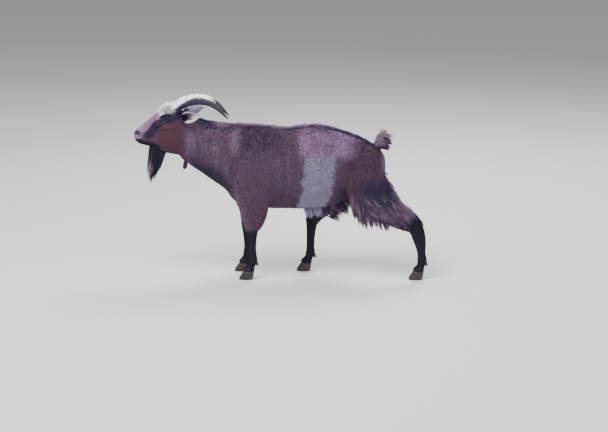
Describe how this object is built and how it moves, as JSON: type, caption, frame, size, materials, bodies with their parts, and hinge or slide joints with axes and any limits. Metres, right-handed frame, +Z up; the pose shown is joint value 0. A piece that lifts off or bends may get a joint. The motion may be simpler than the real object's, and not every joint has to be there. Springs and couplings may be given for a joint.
{
  "type": "goat",
  "caption": "Life-size bearded goat in mid walk on four cloven feet, with back-swept horns, a shaggy coat, long hair on the thighs and an upright tail.",
  "frame": {"origin": "on the floor, under the middle of the goat", "axes": "+Y from nose to tail, +X the goat's left side, +Z up; the goat faces -Y"},
  "size_m": [0.3082, 1.3391, 0.8363],
  "materials": {
    "brown_hair": "coat of grey-brown and red-brown hair, shaggy on the thighs",
    "black_hair": "short near-black hair, pale at the beard's tips",
    "grey_hair": "grey hair with a dark stripe and pale underside",
    "cream_hair": "cream tuft of hair",
    "ear_skin": "thin skin with short hair, pale inside",
    "horn": "ringed keratin, satin",
    "hoof": "dark keratin, satin",
    "eye": "amber iris with a level slot pupil under a wet cornea"
  },
  "bodies": {
    "root": {"head": "brown_hair", "lower_jaw": "black_hair", "forelock": "cream_hair", "beard": "black_hair", "horn_left": "horn", "horn_right": "horn", "ear_left": "ear_skin", "ear_right": "ear_skin", "eye_left": "eye", "eye_right": "eye", "wattle_left": "brown_hair", "wattle_right": "brown_hair", "neck": "brown_hair", "torso": "brown_hair", "tail": "grey_hair", "cannon_fore_left": "black_hair", "cannon_fore_right": "black_hair", "cannon_hind_left": "black_hair", "cannon_hind_right": "black_hair", "dewclaw_fore_left_inner": "hoof", "dewclaw_fore_left_outer": "hoof", "dewclaw_fore_right_inner": "hoof", "dewclaw_fore_right_outer": "hoof", "dewclaw_hind_left_inner": "hoof", "dewclaw_hind_left_outer": "hoof", "dewclaw_hind_right_inner": "hoof", "dewclaw_hind_right_outer": "hoof", "forearm_left": "brown_hair", "forearm_right": "brown_hair", "hoof_fore_left_inner": "hoof", "hoof_fore_left_outer": "hoof", "hoof_fore_right_inner": "hoof", "hoof_fore_right_outer": "hoof", "hoof_hind_left_inner": "hoof", "hoof_hind_left_outer": "hoof", "hoof_hind_right_inner": "hoof", "hoof_hind_right_outer": "hoof", "pastern_fore_left": "black_hair", "pastern_fore_right": "black_hair", "pastern_hind_left": "black_hair", "pastern_hind_right": "black_hair", "shoulder_left": "brown_hair", "shoulder_right": "brown_hair", "thigh_left": "brown_hair", "thigh_right": "brown_hair"}
  },
  "joints": []
}
